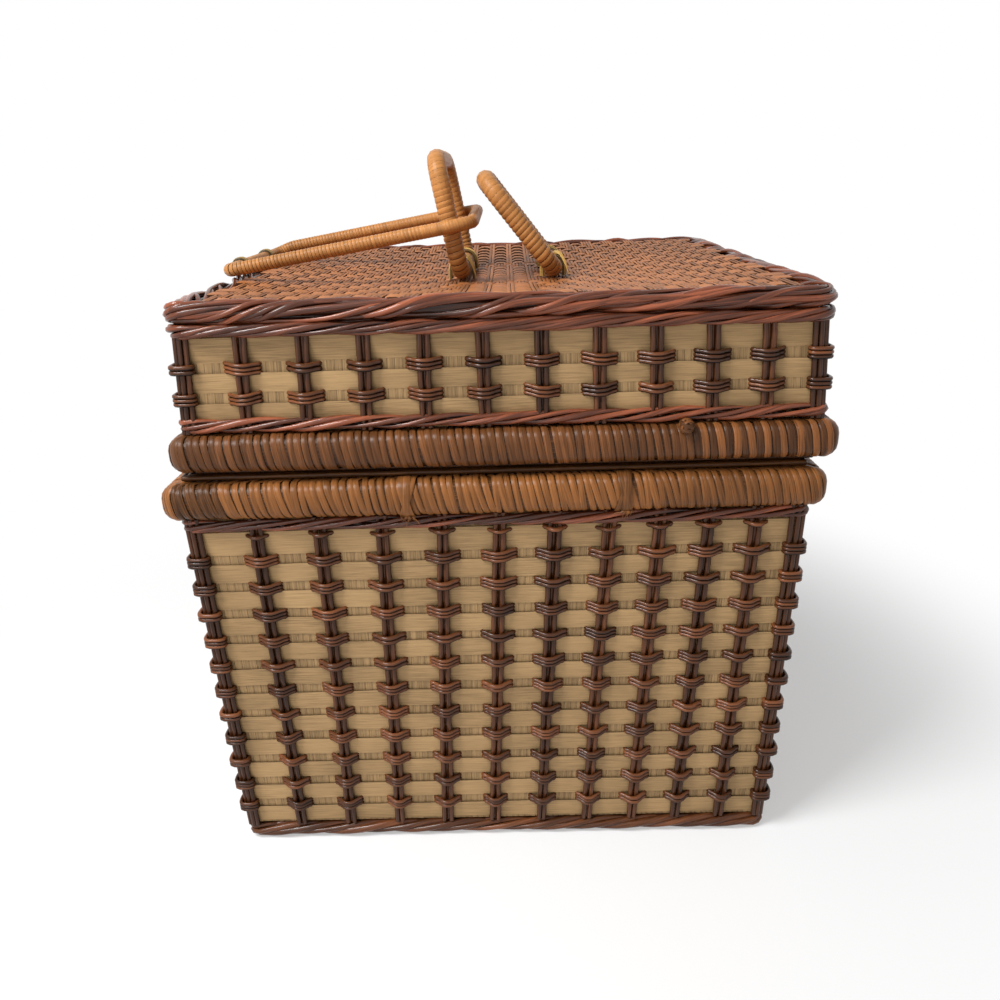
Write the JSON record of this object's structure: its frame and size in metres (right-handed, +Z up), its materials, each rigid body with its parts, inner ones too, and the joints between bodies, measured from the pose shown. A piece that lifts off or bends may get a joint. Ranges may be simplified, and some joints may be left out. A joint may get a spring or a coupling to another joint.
{
  "type": "picnic basket",
  "caption": "Square two-colour woven cane picnic basket with a deep side-hinged lid, ring handles that fold on the lid and a closing loop.",
  "frame": {"origin": "on the floor under the middle of the box's woven base", "axes": "+Z up, -Y out of the front, +X towards the lid's hinges"},
  "size_m": [0.4098, 0.4024, 0.4603],
  "materials": {
    "pale_splint": "satin shaved splint",
    "brown_cane": "stained and varnished round cane",
    "russet_wrap": "stained and varnished flat cane wrapping",
    "golden_wrap": "varnished flat cane wrapping",
    "honey_wrap": "varnished cane binding on a rod",
    "chevron_splint": "stained flat splint, herringbone weave",
    "tie_cane": "raw split cane"
  },
  "bodies": {
    "box": {"base_panel": "pale_splint", "base_braid": "brown_cane", "box_wall_front": "pale_splint", "box_wall_right": "pale_splint", "box_wall_back": "pale_splint", "box_wall_left": "pale_splint", "box_stakes_front": "brown_cane", "box_stakes_right": "brown_cane", "box_stakes_back": "brown_cane", "box_stakes_left": "brown_cane", "box_corner_front_left": "brown_cane", "box_corner_front_right": "brown_cane", "box_corner_back_right": "brown_cane", "box_corner_back_left": "brown_cane", "box_rim": "golden_wrap", "box_rim_tie_left": "golden_wrap", "box_rim_tie_right": "golden_wrap", "box_hinge_tie_front": "tie_cane", "box_hinge_tie_rear": "tie_cane"},
    "lid": {"lid_rim": "russet_wrap", "lid_wall_front": "pale_splint", "lid_wall_right": "pale_splint", "lid_wall_back": "pale_splint", "lid_wall_left": "pale_splint", "lid_stakes_front": "brown_cane", "lid_stakes_right": "brown_cane", "lid_stakes_back": "brown_cane", "lid_stakes_left": "brown_cane", "lid_corner_front_left": "brown_cane", "lid_corner_front_right": "brown_cane", "lid_corner_back_right": "brown_cane", "lid_corner_back_left": "brown_cane", "lid_border": "brown_cane", "lid_panel": "chevron_splint", "lid_rim_knot": "russet_wrap", "lid_hinge_tie_front": "tie_cane", "lid_hinge_tie_rear": "tie_cane", "left_ring_tie_front": "tie_cane", "left_ring_tie_rear": "tie_cane", "right_ring_tie_front": "tie_cane", "right_ring_tie_rear": "tie_cane", "closing_loop_tie_front": "tie_cane", "closing_loop_tie_rear": "tie_cane"},
    "left_ring": {"left_ring": "honey_wrap"},
    "right_ring": {"right_ring": "honey_wrap"},
    "closing_loop": {"closing_loop": "honey_wrap"}
  },
  "joints": [
    {"name": "lid_hinge", "type": "hinge", "parent": "box", "child": "lid", "pos_m": [0.2073, 0, 0.2792], "axis": [0, 1, 0], "range_deg": [0, 105]},
    {"name": "left_ring_swing", "type": "hinge", "parent": "lid", "child": "left_ring", "pos_m": [-0.0205, 0, 0.37915], "axis": [0, 1, 0], "range_deg": [-74, 6]},
    {"name": "right_ring_swing", "type": "hinge", "parent": "lid", "child": "right_ring", "pos_m": [0.0455, 0, 0.37945], "axis": [0, 1, 0], "range_deg": [-7, 120]},
    {"name": "closing_loop_swing", "type": "hinge", "parent": "lid", "child": "closing_loop", "pos_m": [-0.18044, 0, 0.3863], "axis": [0, -1, 0], "range_deg": [-8, 160]}
  ]
}
